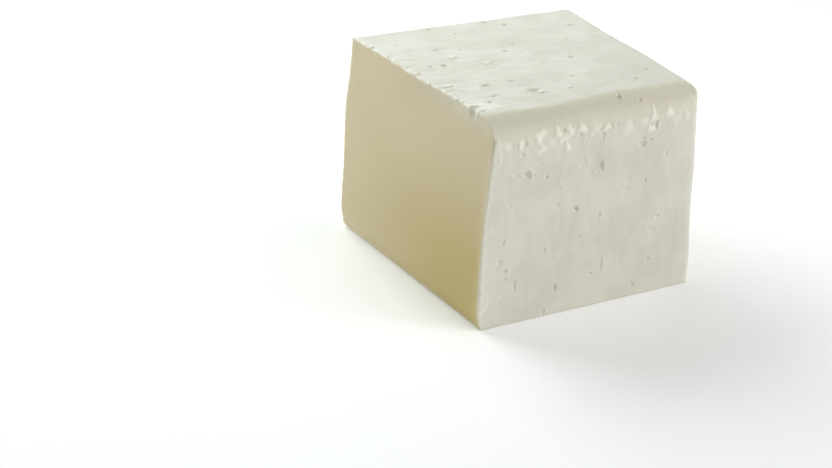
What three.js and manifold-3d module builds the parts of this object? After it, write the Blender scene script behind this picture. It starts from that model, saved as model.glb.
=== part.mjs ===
// A block of feta cut from a longer brined loaf: five moulded faces with small pits, and one flat cut face.
// Millimetres, +Z up. The front is -Y, the cut face is -X, and the origin is the middle of the base.

import * as THREE from "three";
import { mergeVertices } from "three/addons/utils/BufferGeometryUtils.js";
import Module from "manifold-3d";

// Size of the upright box that the block is shaped from.
const SIZE = { x: 109, y: 114, z: 92 };

// How far each corner of the plan stands off that box, as [x, y]. The mould tapers and the knife leans.
const BASE_CORNERS = {
  frontLeft: [-0.5, -1.4],
  frontRight: [0.6, -0.4],
  backRight: [3, 0.4],
  backLeft: [-5.4, 1],
};
const TOP_CORNERS = {
  frontLeft: [3.4, -1.4],
  frontRight: [-3.4, 1.5],
  backRight: [2, -1.4],
  backLeft: [-2.4, 0.6],
};

// The face normal to each axis at its low or high end, and the two axes that run along it.
const FACES = {
  cut: { axis: "x", high: false, along: ["y", "z"] },
  right: { axis: "x", high: true, along: ["y", "z"] },
  front: { axis: "y", high: false, along: ["x", "z"] },
  back: { axis: "y", high: true, along: ["x", "z"] },
  base: { axis: "z", high: false, along: ["x", "y"] },
  top: { axis: "z", high: true, along: ["x", "y"] },
};

// Rounded edges. reach is where the round ends, measured from the first and from the second face.
// A fullness of 2 is a true round, and less is nearer a flat chamfer.
const EDGES = [
  { faces: ["front", "top"], reach: [10, 8.6], fullness: 1.65 },
  { faces: ["back", "top"], reach: [3.2, 3.2], fullness: 2 },
  { faces: ["right", "top"], reach: [3.2, 3.2], fullness: 2 },
  { faces: ["cut", "top"], reach: [0.7, 0.7], fullness: 1.6 },
  { faces: ["front", "right"], reach: [4, 4], fullness: 2 },
  { faces: ["back", "right"], reach: [4, 4], fullness: 2 },
  { faces: ["cut", "front"], reach: [0.9, 0.9], fullness: 1.6 },
  { faces: ["cut", "back"], reach: [2.6, 2.6], fullness: 2 },
  { faces: ["front", "base"], reach: [1, 1], fullness: 2 },
  { faces: ["back", "base"], reach: [2, 2], fullness: 2 },
  { faces: ["right", "base"], reach: [2, 2], fullness: 2 },
  { faces: ["cut", "base"], reach: [3.2, 13], fullness: 2 },
];

// The cut face swells outwards halfway up, where the soft cheese has relaxed.
const CUT_BOW = 1.2;

// Slow waves that leave no face quite flat: the height of each, and its length along the other two axes.
const WAVES = {
  x: { height: 0.25, lengths: [67, 49] },
  y: { height: 0.25, lengths: [58, 43] },
  z: { height: 0.3, lengths: [61, 73] },
};

// Grid lines stand close together at an edge, where the rounds are, and wider apart towards the middle.
const GRID_FIRST = 0.7;
const GRID_GROWTH = 1.5;
const GRID_WIDEST = 9;

// Pits seen on the front and top faces: place along the face, width, height and depth.
// The front is placed by x and z, and the top by x and y from the front edge.
const SEEN_PITS = {
  front: [
    { at: [18, 67], span: [3.4, 3], depth: 2 },
    { at: [56.5, 64.5], span: [2.4, 4], depth: 1.7 },
    { at: [47, 67.5], span: [2.6, 3.6], depth: 0.9 },
    { at: [77.5, 71], span: [3.4, 3], depth: 1.6 },
    { at: [90.5, 64.5], span: [2, 2.4], depth: 0.9 },
    { at: [45, 47.5], span: [2.6, 2.2], depth: 1.5 },
    { at: [70.5, 51], span: [3.2, 2.6], depth: 0.8 },
    { at: [86, 30], span: [4, 2.6], depth: 0.8 },
    { at: [10, 39], span: [2, 2.4], depth: 1.1 },
    { at: [9, 30], span: [2.6, 3.2], depth: 1.2 },
    { at: [12, 25.5], span: [2, 2], depth: 1.4 },
    { at: [17, 18], span: [1.4, 5], depth: 1 },
    { at: [37, 13], span: [1.6, 3], depth: 1.3 },
    { at: [60.5, 19], span: [1.3, 6], depth: 1.1 },
    { at: [77, 6], span: [2.4, 2], depth: 0.9 },
    { at: [32.5, 2.2], span: [1.2, 3.2], depth: 1 },
  ],
  top: [
    { at: [69, 102], span: [2, 3], depth: 1.3 },
    { at: [98, 92], span: [4.6, 2.6], depth: 1.2 },
    { at: [51.5, 71], span: [2.6, 2.6], depth: 1.3 },
    { at: [75, 54], span: [3, 3], depth: 1.7 },
    { at: [17.5, 65.5], span: [3, 3], depth: 1.4 },
    { at: [20, 38], span: [3.6, 3], depth: 1.5 },
    { at: [36.5, 26], span: [5, 4.4], depth: 1.9 },
    { at: [17.5, 25.5], span: [4, 4], depth: 0.9 },
    { at: [24, 84], span: [4.4, 2.2], depth: 0.9 },
    { at: [98, 28], span: [3.4, 2.6], depth: 1.1 },
    { at: [68, 5.6], span: [2.8, 3], depth: 2.1 },
    { at: [77.5, 1.4], span: [2.8, 2.6], depth: 1.5 },
    { at: [0.5, 16.5], span: [3.6, 5.6], depth: 1.8 },
  ],
};

// A row of pits under the front shoulder, where curds met the side of the mould.
const SHOULDER_ROW = { from: 11, to: 102, pits: 13, heights: [81.5, 78], span: [2.6, 3.2], depth: 1 };

// Small pits scattered over each face. Each lands near a point of an even spread, moved by up to the stray.
const SCATTER = { front: 16, top: 18, right: 30, back: 30, cut: 8 };
const SCATTER_MARGIN = 6;
const SCATTER_STRAY = 9;
const SCATTER_SPAN = [1.5, 3.2];
const SCATTER_DEPTH = [0.7, 1.3];
const SCATTER_SEED = 20417;
const EVEN_SPREAD = [0.7549, 0.5698];

// A pit wider than this gets a rounder hollow.
const LARGE_SPAN = 3.3;
// The hollow's centre stands this share of the depth clear of the face, so the mouth is its widest part.
const PIT_LIFT = 0.22;
const PIT_LUMP = 0.16;

const WELD_DISTANCE = 1e-4;

const wasm = await Module();
wasm.setup();

// Repeatable draws between 0 and 1, by the Park-Miller rule.
function drawer(seed) {
  let state = seed;
  return () => {
    state = (state * 16807) % 2147483647;
    return state / 2147483647;
  };
}

function between([low, high], draw) {
  return low + (high - low) * draw;
}

function distanceFrom(face, point) {
  return face.high ? SIZE[face.axis] - point[face.axis] : point[face.axis];
}

function setDistanceFrom(face, point, distance) {
  point[face.axis] = face.high ? SIZE[face.axis] - distance : distance;
}

// Pulls the square corner between two faces in to a round, and squeezes what lies behind it to match.
function roundEdge(point, { faces, reach, fullness }) {
  const [first, second] = faces.map((name) => FACES[name]);
  const a = 1 - distanceFrom(first, point) / reach[0];
  const b = 1 - distanceFrom(second, point) / reach[1];
  if (a <= 0 || b <= 0) return;
  const squeeze = Math.max(a, b) / (a ** fullness + b ** fullness) ** (1 / fullness);
  setDistanceFrom(first, point, (1 - a * squeeze) * reach[0]);
  setDistanceFrom(second, point, (1 - b * squeeze) * reach[1]);
}

// Swells the cut face and adds the slow waves. Nothing at the base leaves its plane.
function relax(point) {
  const { x, y, z } = point;
  const wave = ({ height, lengths }, u, v) =>
    height * Math.sin((2 * Math.PI * u) / lengths[0] + 1) * Math.sin((2 * Math.PI * v) / lengths[1]);
  point.x += wave(WAVES.x, y, z) - CUT_BOW * Math.sin((Math.PI * z) / SIZE.z) * (1 - x / SIZE.x);
  point.y += wave(WAVES.y, x, z);
  point.z += (wave(WAVES.z, x, y) * z) / SIZE.z;
}

// Moves a point with the plan corners, which differ a little between the base and the top.
function lean(point) {
  const right = point.x / SIZE.x;
  const back = point.y / SIZE.y;
  const up = point.z / SIZE.z;
  const shift = (corners, i) =>
    (1 - back) * ((1 - right) * corners.frontLeft[i] + right * corners.frontRight[i]) +
    back * ((1 - right) * corners.backLeft[i] + right * corners.backRight[i]);
  point.x += (1 - up) * shift(BASE_CORNERS, 0) + up * shift(TOP_CORNERS, 0);
  point.y += (1 - up) * shift(BASE_CORNERS, 1) + up * shift(TOP_CORNERS, 1);
}

// Takes a point of the upright box to its place in the block.
function shape(point) {
  EDGES.forEach((edge) => roundEdge(point, edge));
  relax(point);
  lean(point);
  return point;
}

// Grid lines over one side of the box, close at both ends.
function gridLines(length) {
  const near = [0];
  let step = GRID_FIRST;
  while (near.at(-1) + step < length / 2 - step / 2) {
    near.push(near.at(-1) + step);
    step = Math.min(step * GRID_GROWTH, GRID_WIDEST);
  }
  return [...near, length / 2, ...near.map((place) => length - place).reverse()];
}

// A closed mesh with shared corners, as a solid that can be cut.
function toSolid(geometry) {
  geometry.deleteAttribute("normal");
  geometry.deleteAttribute("uv");
  const merged = mergeVertices(geometry, WELD_DISTANCE);
  return new wasm.Manifold(
    new wasm.Mesh({
      numProp: 3,
      vertProperties: merged.attributes.position.array,
      triVerts: new Uint32Array(merged.index.array),
    }),
  );
}

function fromSolid(solid) {
  const mesh = solid.getMesh();
  const geometry = new THREE.BufferGeometry();
  geometry.setAttribute("position", new THREE.BufferAttribute(mesh.vertProperties, 3));
  geometry.setIndex(new THREE.BufferAttribute(mesh.triVerts, 1));
  geometry.computeVertexNormals();
  return geometry;
}

// Applies a change to every corner of a geometry.
function reshape(geometry, change) {
  const position = geometry.attributes.position;
  const point = new THREE.Vector3();
  for (let i = 0; i < position.count; i++) {
    change(point.fromBufferAttribute(position, i));
    position.setXYZ(i, point.x, point.y, point.z);
  }
  return geometry;
}

// The block before its pits: a box on the graded grid, shaped corner by corner.
function plainBlock() {
  const lines = ["x", "y", "z"].map((axis) => gridLines(SIZE[axis]));
  const cells = lines.map((line) => line.length - 1);
  const box = new THREE.BoxGeometry(...cells, ...cells);
  return reshape(box, (corner) => {
    const [x, y, z] = corner.toArray().map((value, i) => lines[i][Math.round(value + cells[i] / 2)]);
    shape(corner.set(x, y, z));
  });
}

// The place on the finished surface of a point given along a face.
function onFace(name, s, t) {
  const { axis, high, along } = FACES[name];
  const point = new THREE.Vector3();
  point[along[0]] = s;
  point[along[1]] = t;
  point[axis] = high ? SIZE[axis] : 0;
  return shape(point);
}

// A lumpy hollow, turned so that its depth lies square to the face.
function pitCutter(face, { at: [s, t], span, depth }) {
  const mouth = onFace(face, s, t);
  const sideways = onFace(face, s + 1, t).sub(mouth).normalize();
  const inwards = sideways.clone().cross(onFace(face, s, t + 1).sub(mouth)).normalize();
  const upwards = inwards.clone().cross(sideways);
  const out = FACES[face].high === (inwards[FACES[face].axis] > 0) ? 1 : -1;
  const frame = new THREE.Matrix4()
    .makeBasis(sideways, upwards, inwards)
    .setPosition(mouth.addScaledVector(inwards, out * PIT_LIFT * depth));
  const ball = new THREE.IcosahedronGeometry(1, Math.max(...span) > LARGE_SPAN ? 1 : 0);
  reshape(ball, (corner) => {
    corner.multiplyScalar(1 + PIT_LUMP * Math.sin(5 * corner.x + 7 * corner.y + 3 * corner.z + s));
    corner.multiply(new THREE.Vector3(span[0] / 2, span[1] / 2, depth * (1 + PIT_LIFT)));
    corner.applyMatrix4(frame);
  });
  return toSolid(ball);
}

// Every pit of the block as [face, pit].
function allPits() {
  const pits = Object.entries(SEEN_PITS).flatMap(([face, seen]) => seen.map((pit) => [face, pit]));
  const draw = drawer(SCATTER_SEED);
  const { from, to, pits: count, heights, span, depth } = SHOULDER_ROW;
  for (let i = 0; i < count; i++) {
    const x = from + ((to - from) * (i + draw() - 0.5)) / (count - 1);
    const z = heights[i % heights.length] + 2 * draw() - 1;
    pits.push(["front", { at: [x, z], span: span.map((width) => width * (0.8 + 0.4 * draw())), depth }]);
  }
  for (const [face, count] of Object.entries(SCATTER)) {
    const sides = FACES[face].along.map((axis) => [SCATTER_MARGIN, SIZE[axis] - SCATTER_MARGIN]);
    for (let i = 1; i <= count; i++) {
      const stray = () => SCATTER_STRAY * (draw() - 0.5);
      const at = sides.map((side, j) => between(side, (i * EVEN_SPREAD[j]) % 1) + stray());
      const span = [between(SCATTER_SPAN, draw()), between(SCATTER_SPAN, draw())];
      pits.push([face, { at, span, depth: between(SCATTER_DEPTH, draw()) }]);
    }
  }
  return pits;
}

// The block with its pits cut, standing on z = 0 with its middle over the origin.
function fetaBlock() {
  const pitted = allPits().reduce(
    (block, [face, pit]) => block.subtract(pitCutter(face, pit)),
    toSolid(plainBlock()),
  );
  const geometry = fromSolid(pitted);
  geometry.computeBoundingBox();
  const middle = geometry.boundingBox.getCenter(new THREE.Vector3());
  geometry.translate(-middle.x, -middle.y, -geometry.boundingBox.min.z);
  const cheese = new THREE.MeshStandardMaterial({ color: 0xe3e1d2, roughness: 0.55, metalness: 0 });
  const mesh = new THREE.Mesh(geometry, cheese);
  mesh.name = "feta_block";
  return mesh;
}

const group = new THREE.Group();
group.add(fetaBlock());

export default group;
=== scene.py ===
"""A block of feta on a pale studio floor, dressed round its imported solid.

The block is one piece. A cube is divided into a grid, divided again round its edges and its pits, and then
every point is taken to its place on the block and sunk or raised by the relief of the curd. The sizes in the
classes are real millimetres in the block's own upright box: X runs from the cut face along the front,
Y from the front to the back, and Z up from the base.
"""

import logging
import math
from collections.abc import Iterator, Sequence
from dataclasses import dataclass, field
from enum import Enum
from typing import ClassVar

import bmesh
import bpy
import numpy as np
from mathutils import Matrix, Vector, noise


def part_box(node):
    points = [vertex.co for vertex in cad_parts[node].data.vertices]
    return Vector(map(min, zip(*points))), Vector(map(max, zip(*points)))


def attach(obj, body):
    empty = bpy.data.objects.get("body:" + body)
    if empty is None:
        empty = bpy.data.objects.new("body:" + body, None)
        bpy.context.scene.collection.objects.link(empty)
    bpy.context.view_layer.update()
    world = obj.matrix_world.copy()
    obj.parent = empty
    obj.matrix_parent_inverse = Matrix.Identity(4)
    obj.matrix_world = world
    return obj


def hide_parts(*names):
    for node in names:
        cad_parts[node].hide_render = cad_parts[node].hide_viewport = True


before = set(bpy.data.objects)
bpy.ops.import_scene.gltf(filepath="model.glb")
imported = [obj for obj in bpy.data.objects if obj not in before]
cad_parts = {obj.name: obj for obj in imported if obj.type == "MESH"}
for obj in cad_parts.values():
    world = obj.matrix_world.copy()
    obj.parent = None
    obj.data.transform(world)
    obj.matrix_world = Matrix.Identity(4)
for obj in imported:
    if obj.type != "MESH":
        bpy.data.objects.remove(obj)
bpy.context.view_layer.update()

LOG = logging.getLogger("feta")
NODE = "feta_block"
MM = 0.001

# A crumbling edge reads the noise along a line of its own. These are how far apart the lines lie, and how
# wide the noise's swells are across them, in mm.
LINES_APART = 40.0
LINE_WIDTH = 9.0

# How steeply a grain of curd falls off towards its creases.
GRAIN_FALL = 1.6

# The multiplier and the prime of the Park-Miller rule.
DRAW_STEP = 16807
DRAW_PRIME = 2147483647

# The numbers of the Mix node's colour inputs and output.
MIX_SHARE = 0
MIX_FIRST = 6
MIX_SECOND = 7
MIX_RESULT = 2

# Two numbers, a table of numbers, and how many marks of a kind each side has.
Pair = tuple[float, float]
Rows = tuple[tuple[float, ...], ...]
Counts = tuple[tuple["Side", int], ...]


def smooth_step(low: float, high: float, values: np.ndarray) -> np.ndarray:
    """Goes smoothly from 0 at low to 1 at high, which may be the smaller of the two."""
    t = np.clip((values - low) / (high - low), 0.0, 1.0)
    return t * t * (3.0 - 2.0 * t)


def wander(points: np.ndarray, lengths: Sequence[float], start: float) -> np.ndarray:
    """Smooth noise from about -1 to 1, with swells of those lengths in mm, the same each run."""
    places = (points / np.asarray(lengths) + start).tolist()
    return np.fromiter((noise.noise(place) for place in places), float, len(places))


def curds(points: np.ndarray, across: float, start: float) -> np.ndarray:
    """Round grains pressed together: 1 in the middle of each, falling to 0 in the creases.

    Args:
        points: Places, in mm.
        across: Width of a grain, in mm.
        start: Which part of the endless pattern is used.

    Returns:
        One number from 0 to 1 for each point.
    """
    places = (points / across + start).tolist()
    nearest = np.fromiter((noise.voronoi(place)[0][0] for place in places), float, len(places))
    return np.clip(1.0 - GRAIN_FALL * nearest**2, 0.0, 1.0)


def bell(distance: np.ndarray, reach: float) -> np.ndarray:
    """A smooth hump: 1 at a distance of 0, and nearly gone at the reach to each side."""
    return np.exp(-2.0 * (distance / reach) ** 2)


def draws(seed: int) -> Iterator[float]:
    """Repeatable numbers between 0 and 1, by the Park-Miller rule.

    Args:
        seed: Where the row of numbers starts.

    Yields:
        The next number.
    """
    state = seed
    while True:
        state = state * DRAW_STEP % DRAW_PRIME
        yield state / DRAW_PRIME


def between(low: float, high: float, draw: float) -> float:
    """The number that lies a drawn share of the way from low to high."""
    return low + (high - low) * draw


class Side(Enum):
    """The sides of the block, each with its axis and whether it is at that axis's high end."""

    CUT = (0, False)
    RIGHT = (0, True)
    FRONT = (1, False)
    BACK = (1, True)
    BASE = (2, False)
    TOP = (2, True)

    @property
    def axis(self) -> int:
        """The axis that the side is square to."""
        return self.value[0]

    @property
    def along(self) -> tuple[int, int]:
        """The two axes that run along the side."""
        first, second = (axis for axis in range(3) if axis != self.axis)
        return first, second

    def distance(self, points: np.ndarray, size: np.ndarray) -> np.ndarray:
        """How far each point lies inside the side, in mm."""
        values = points[:, self.axis]
        return size[self.axis] - values if self.value[1] else values

    def place(self, points: np.ndarray, size: np.ndarray, distance: np.ndarray) -> None:
        """Moves each point to a distance inside the side."""
        points[:, self.axis] = size[self.axis] - distance if self.value[1] else distance

    def on_side(self, at: np.ndarray, size: np.ndarray) -> np.ndarray:
        """Points of the upright box from places along the side.

        Args:
            at: Rows of two places, in mm.
            size: Size of the box.

        Returns:
            Rows of three coordinates, in mm.
        """
        points = np.zeros((len(at), 3))
        points[:, self.along[0]] = at[:, 0]
        points[:, self.along[1]] = at[:, 1]
        self.place(points, size, np.zeros(len(at)))
        return points


@dataclass(frozen=True)
class EdgeRound:
    """The round between two sides.

    Attributes:
        first: One side.
        second: The other side.
        reach: Where the round ends, measured from the first and from the second side.
        fullness: 2 is a true round, and less is nearer a flat chamfer.
        crumble: How much wider the round gets where curd has broken away.
        breaks: The larger and the smaller breaks along the edge: their length, their share, their start in
            the noise, and how much of the noise leaves the edge whole.
    """

    first: Side
    second: Side
    reach: Pair
    fullness: float = 2.0
    crumble: float = 0.0
    breaks: Rows = ((5.5, 2.2, 3.7, 0.08), (1.7, 0.3, 8.1, 0.0))

    def worn(self, points: np.ndarray) -> np.ndarray:
        """How crumbled the edge is.

        Args:
            points: Points of the upright box.

        Returns:
            How much wider the round is at each point, from 1 where the edge is whole.
        """
        if not self.crumble:
            return np.ones(len(points))
        axis = 3 - self.first.axis - self.second.axis
        line = np.zeros((len(points), 3))
        line[:, 0] = points[:, axis]
        line[:, 1] = LINES_APART * (self.first.axis + 2 * self.second.axis)
        broken = sum(
            share * np.clip(wander(line, (length, LINE_WIDTH, LINE_WIDTH), start) - whole, 0.0, None)
            for length, share, start, whole in self.breaks
        )
        return 1.0 + self.crumble * broken

    def apply(self, points: np.ndarray, size: np.ndarray) -> None:
        """Pulls the square corner in to the round, and squeezes what lies behind it to match.

        Args:
            points: Points of the upright box, which are moved.
            size: Size of the box.
        """
        worn = self.worn(points)
        reach = [worn * length for length in self.reach]
        a = 1.0 - self.first.distance(points, size) / reach[0]
        b = 1.0 - self.second.distance(points, size) / reach[1]
        inside = (a > 0) & (b > 0)
        a, b = np.where(inside, a, 0.5), np.where(inside, b, 0.5)
        squeeze = np.maximum(a, b) / (a**self.fullness + b**self.fullness) ** (1.0 / self.fullness)
        moved = points.copy()
        self.first.place(moved, size, (1.0 - a * squeeze) * reach[0])
        self.second.place(moved, size, (1.0 - b * squeeze) * reach[1])
        points[inside] = moved[inside]


@dataclass
class BlockForm:
    """The block's outline, with no pits: the same sizes as its solid has.

    Attributes:
        size: The upright box that the block is shaped from.
        base_corners: How far the base's corners stand off the box, in the order front left, front right,
            back left and back right.
        top_corners: The same at the top.
        rounds: The rounded edges, in the order in which they are made.
        bow: How far the cut face swells out halfway up.
        waves: Height and two lengths of the slow wave along each axis.
        wave_start: How far on each of them starts, in radians.
    """

    size: np.ndarray = field(default_factory=lambda: np.array([109.0, 114.0, 92.0]))
    base_corners: tuple[Pair, ...] = ((-0.5, -1.4), (0.6, -0.4), (-5.4, 1.0), (3.0, 0.4))
    top_corners: tuple[Pair, ...] = ((3.4, -1.4), (-3.4, 1.5), (-2.4, 0.6), (2.0, -1.4))
    rounds: tuple[EdgeRound, ...] = (
        EdgeRound(Side.FRONT, Side.TOP, (10.0, 8.6), 1.65),
        EdgeRound(Side.BACK, Side.TOP, (3.2, 3.2)),
        EdgeRound(Side.RIGHT, Side.TOP, (3.2, 3.2)),
        EdgeRound(Side.CUT, Side.TOP, (0.9, 0.9), 1.6, crumble=0.6),
        EdgeRound(Side.FRONT, Side.RIGHT, (4.0, 4.0)),
        EdgeRound(Side.BACK, Side.RIGHT, (4.0, 4.0)),
        EdgeRound(Side.CUT, Side.FRONT, (1.1, 1.1), 1.8, crumble=0.3),
        EdgeRound(Side.CUT, Side.BACK, (2.6, 2.6), crumble=0.2),
        EdgeRound(Side.FRONT, Side.BASE, (1.0, 1.0)),
        EdgeRound(Side.BACK, Side.BASE, (2.0, 2.0)),
        EdgeRound(Side.RIGHT, Side.BASE, (2.0, 2.0)),
        EdgeRound(Side.CUT, Side.BASE, (3.2, 13.0)),
    )
    bow: float = 1.2
    waves: tuple[tuple[float, float, float], ...] = ((0.25, 67, 49), (0.25, 58, 43), (0.3, 61, 73))
    wave_start: float = 1.0

    def shape(self, points: np.ndarray) -> np.ndarray:
        """Takes points of the upright box to their places in the block.

        Args:
            points: Rows of three coordinates in the box, in mm.

        Returns:
            New rows, in mm.
        """
        placed = points.astype(float).copy()
        for edge in self.rounds:
            edge.apply(placed, self.size)
        return self._lean(self._relax(placed))

    def _relax(self, points: np.ndarray) -> np.ndarray:
        """Swells the cut face and adds the slow waves. Nothing at the base leaves its plane.

        Args:
            points: Points of the upright box.

        Returns:
            New points.
        """
        x, y, z = points.T
        up = z / self.size[2]
        shifts = []
        for (height, first, second), u, v in zip(self.waves, (y, x, x), (z, z, y)):
            wave = np.sin(math.tau * u / first + self.wave_start) * np.sin(math.tau * v / second)
            shifts.append(height * wave)
        shifts[0] = shifts[0] - self.bow * np.sin(math.pi * up) * (1.0 - x / self.size[0])
        shifts[2] = shifts[2] * up
        return points + np.column_stack(shifts)

    def _lean(self, points: np.ndarray) -> np.ndarray:
        """Moves points with the plan corners, which differ a little between the base and the top.

        Args:
            points: Points of the upright box.

        Returns:
            New points.
        """
        right, back, up = (points / self.size).T
        shares = np.column_stack(
            [(1 - right) * (1 - back), right * (1 - back), (1 - right) * back, right * back]
        )
        base = shares @ np.array(self.base_corners)
        top = shares @ np.array(self.top_corners)
        leaned = points.copy()
        leaned[:, :2] += (1 - up)[:, None] * base + up[:, None] * top
        return leaned


class MarkKind(Enum):
    """What a mark in the surface is."""

    PIT = "an open pit with steep walls and a low lip"
    DENT = "a soft dent"
    CRUMB = "a crumb of curd that stands out"
    FLAKE = "a low flat flake"


@dataclass(frozen=True)
class Mark:
    """One mark in a side.

    Attributes:
        side: The side that it is in.
        at: Its place along the side's two axes.
        span: Its width along each of them.
        relief: How deep it is, or how far it stands out.
        kind: What it is.
        turn: How far it is turned in the side, in degrees.
        even_waves: Waves round its outline: how many, their height, and how they turn with its place.
        ragged_waves: The same for a crumb, whose outline is ragged.
        turning: How much each of its two places turns the waves, so that no two marks are alike.
        dent_slope: How far out a dent ends and where it is at its deepest, as shares of half its width.
        flake_edge: How far out a flake ends and where its flat top starts.
        crown: How full a crumb is: under 1 is fuller.
        wall: How steep a pit's wall is: over 1 is softer.
        lip: Place, width and height of the lip round a pit.
        spill: How far out the ragged outline or the lip can be, as a share of half the width.
    """

    side: Side
    at: Pair
    span: Pair
    relief: float
    kind: MarkKind = MarkKind.PIT
    turn: float = 0.0
    even_waves: ClassVar[Rows] = ((2, 0.13, 1.0), (3, 0.1, 1.7))
    ragged_waves: ClassVar[Rows] = ((2, 0.221, 1.0), (3, 0.17, 1.7), (5, 0.08, 2.9))
    turning: ClassVar[Pair] = (1.0, 2.3)
    dent_slope: ClassVar[Pair] = (1.15, 0.1)
    flake_edge: ClassVar[Pair] = (1.06, 0.9)
    crown: ClassVar[float] = 0.9
    wall: ClassVar[float] = 1.35
    lip: ClassVar[tuple[float, float, float]] = (1.12, 0.2, 0.2)
    spill: ClassVar[float] = 1.6

    @property
    def reach(self) -> float:
        """How far from its middle anything of the mark can be, in mm."""
        return self.spill * max(self.span) / 2

    def profile(self, across: np.ndarray, up: np.ndarray) -> np.ndarray:
        """Height at each place round the mark, as a share of its relief.

        Args:
            across: Distance from its middle along its width, in mm.
            up: The same along its height.

        Returns:
            Numbers from -1, as deep as it is, to 1, where it stands out the most.
        """
        far = self._far(2.0 * across / self.span[0], 2.0 * up / self.span[1])
        if self.kind is MarkKind.DENT:
            return -smooth_step(*self.dent_slope, far)
        if self.kind is MarkKind.FLAKE:
            return smooth_step(*self.flake_edge, far)
        bowl = np.clip(1.0 - far**2, 0.0, None)
        if self.kind is MarkKind.CRUMB:
            return bowl**self.crown
        place, width, height = self.lip
        return height * np.exp(-(((far - place) / width) ** 2)) - bowl**self.wall

    def _far(self, u: np.ndarray, v: np.ndarray) -> np.ndarray:
        """How far out each place is, from 0 in the middle to 1 at the mark's uneven outline.

        Args:
            u: Distance from the middle along its width, as a share of half of it.
            v: The same along its height.

        Returns:
            One number for each place.
        """
        angle = np.arctan2(v, u)
        phase = sum(weight * place for weight, place in zip(self.turning, self.at))
        waves = self.ragged_waves if self.kind is MarkKind.CRUMB else self.even_waves
        uneven = sum(height * np.sin(count * angle + turn * phase) for count, height, turn in waves)
        return np.hypot(u, v) / (1.0 + uneven)


@dataclass(frozen=True)
class SeenMarks:
    """The marks that show clearly in one side. The pits are at the places that they have in the solid.

    Attributes:
        side: The side.
        softened: Share of their depth in the solid that the pits have here.
        widened: How much wider the pits are here, with their softer walls.
        pits: Place, span and depth of each pit.
        crumbs: Place, span, height and turn of each crumb.
        dents: The same for each soft dent.
        flakes: The same for each flat flake. One that is missing has a height below 0.
    """

    side: Side
    softened: float
    widened: float
    pits: Rows
    crumbs: Rows
    dents: Rows
    flakes: Rows = ()

    def marks(self) -> list[Mark]:
        """Reads the side's rows.

        Returns:
            Every mark in them.
        """
        found = []
        for s, t, width, height, depth in self.pits:
            span = (self.widened * width, self.widened * height)
            found.append(Mark(self.side, (s, t), span, self.softened * depth))
        kinds = (
            (MarkKind.CRUMB, self.crumbs),
            (MarkKind.DENT, self.dents),
            (MarkKind.FLAKE, self.flakes),
        )
        for kind, rows in kinds:
            for s, t, width, height, relief, turn in rows:
                found.append(Mark(self.side, (s, t), (width, height), relief, kind, turn))
        return found


FRONT_SEEN = SeenMarks(
    Side.FRONT,
    softened=0.68,
    widened=1.3,
    pits=(
        (18.6, 67.1, 3.4, 3, 1.6),
        (56.7, 64.7, 2.2, 4.4, 1.5),
        (47, 67.2, 3.2, 4, 0.5),
        (77.8, 70.8, 3, 3, 1.3),
        (90.9, 64.4, 2, 2.4, 0.6),
        (45, 47.5, 2.6, 2.2, 1.3),
        (70.8, 51.2, 4, 3.4, 0.4),
        (86, 30, 4, 2.6, 0.4),
        (10, 39, 2, 2.4, 0.8),
        (9, 30, 2.6, 3.2, 0.8),
        (12, 25.5, 2, 2, 1.2),
        (17, 18, 1.4, 5, 0.8),
        (37, 13, 1.6, 3, 1.1),
        (60.5, 19, 1.3, 6, 0.8),
        (77, 6, 2.4, 2, 0.6),
        (32.5, 2.2, 1.2, 3.2, 0.8),
        (35.4, 83.3, 1.5, 1.7, 0.9),
        (16.3, 80.6, 1.8, 2.8, 0.9),
        (56.1, 78.6, 1.8, 3.6, 0.7),
        (60.8, 81.4, 1.8, 2.2, 0.6),
        (84.7, 78.4, 1.9, 3.8, 0.9),
    ),
    crumbs=(
        (2.6, 82.5, 1.8, 5, 0.17, 0),
        (3.6, 74.5, 1.6, 7, 0.17, -8),
        (13.6, 81, 3.6, 4, 0.42, 0),
        (23.2, 83.2, 5.4, 7, 0.5, 8),
        (24.7, 77, 4.8, 4.2, 0.44, 20),
        (32.4, 83.2, 4, 5.4, 0.47, 12),
        (38.5, 83, 4, 5.6, 0.47, -14),
        (35.8, 80, 4.8, 3.6, 0.42, 0),
        (37.8, 76.2, 3.4, 5.4, 0.38, 32),
        (44.8, 83, 4.8, 5, 0.44, 25),
        (46.6, 78.2, 1.4, 5, 0.15, 0),
        (57.8, 81.6, 4.2, 4, 0.42, 0),
        (69.5, 79.6, 5.5, 9, 0.16, 0),
        (82.9, 83.6, 3.4, 7, 0.42, 0),
        (81.8, 77.2, 4.4, 4.6, 0.45, 0),
        (91.2, 82.8, 6.4, 4.4, 0.42, -38),
        (95.5, 79, 5, 5.4, 0.2, 0),
        (101.4, 80, 3, 5, 0.2, -10),
        (53.4, 62.5, 1.6, 3, 0.15, 0),
        (15.4, 68, 1.8, 3.4, 0.2, -10),
        (10.8, 68, 2.2, 2, 0.15, 0),
        (2.2, 9, 2.4, 6, 0.25, 8),
    ),
    dents=(
        (6, 78, 1.6, 6, 0.35, 24),
        (101.6, 83, 3.4, 1.6, 0.4, 0),
        (38, 41, 2.4, 10, 0.3, 0),
        (35, 29, 2, 9, 0.3, -6),
        (43.6, 25, 3, 4, 0.3, 0),
        (30.5, 12, 2.4, 8, 0.25, 0),
        (9.5, 52, 2.4, 3.2, 0.4, 0),
        (10, 46, 2.2, 2.8, 0.35, 0),
        (4.8, 10, 2.6, 5, 0.5, 12),
    ),
)
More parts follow.
